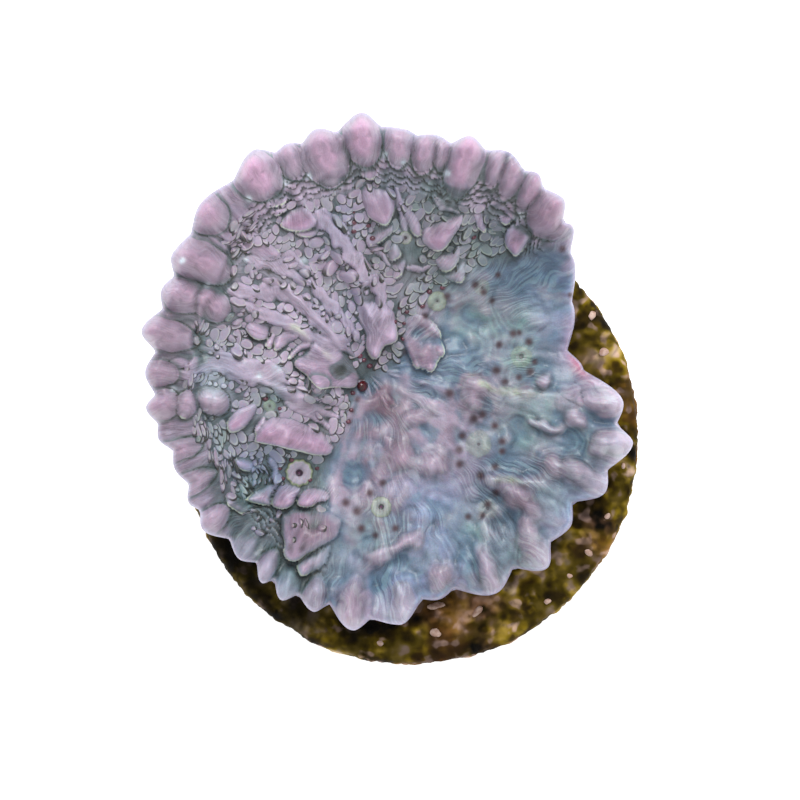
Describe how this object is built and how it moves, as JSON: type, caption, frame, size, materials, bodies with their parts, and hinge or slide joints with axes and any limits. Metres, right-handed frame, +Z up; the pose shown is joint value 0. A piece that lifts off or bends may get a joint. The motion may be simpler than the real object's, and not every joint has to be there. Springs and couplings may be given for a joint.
{
  "type": "chalice coral frag",
  "caption": "Ruffled chalice coral plate, tilted and scalloped, grown on a round flat frag disc that rests on its underside.",
  "frame": {"origin": "middle of the frag disc's flat underside, where it rests", "axes": "+Z up out of the disc, +Y towards the highest part of the coral's rim, +X to the right as seen from above"},
  "size_m": [0.035, 0.0386, 0.0206],
  "materials": {
    "coral_tissue": "moist living tissue over limestone: mauve knobs, blue-green hollows",
    "algae_crust": "cement disc under olive-brown turf algae with pale pink coralline specks"
  },
  "bodies": {
    "root": {"chalice_coral": "coral_tissue", "frag_disc": "algae_crust"}
  },
  "joints": []
}
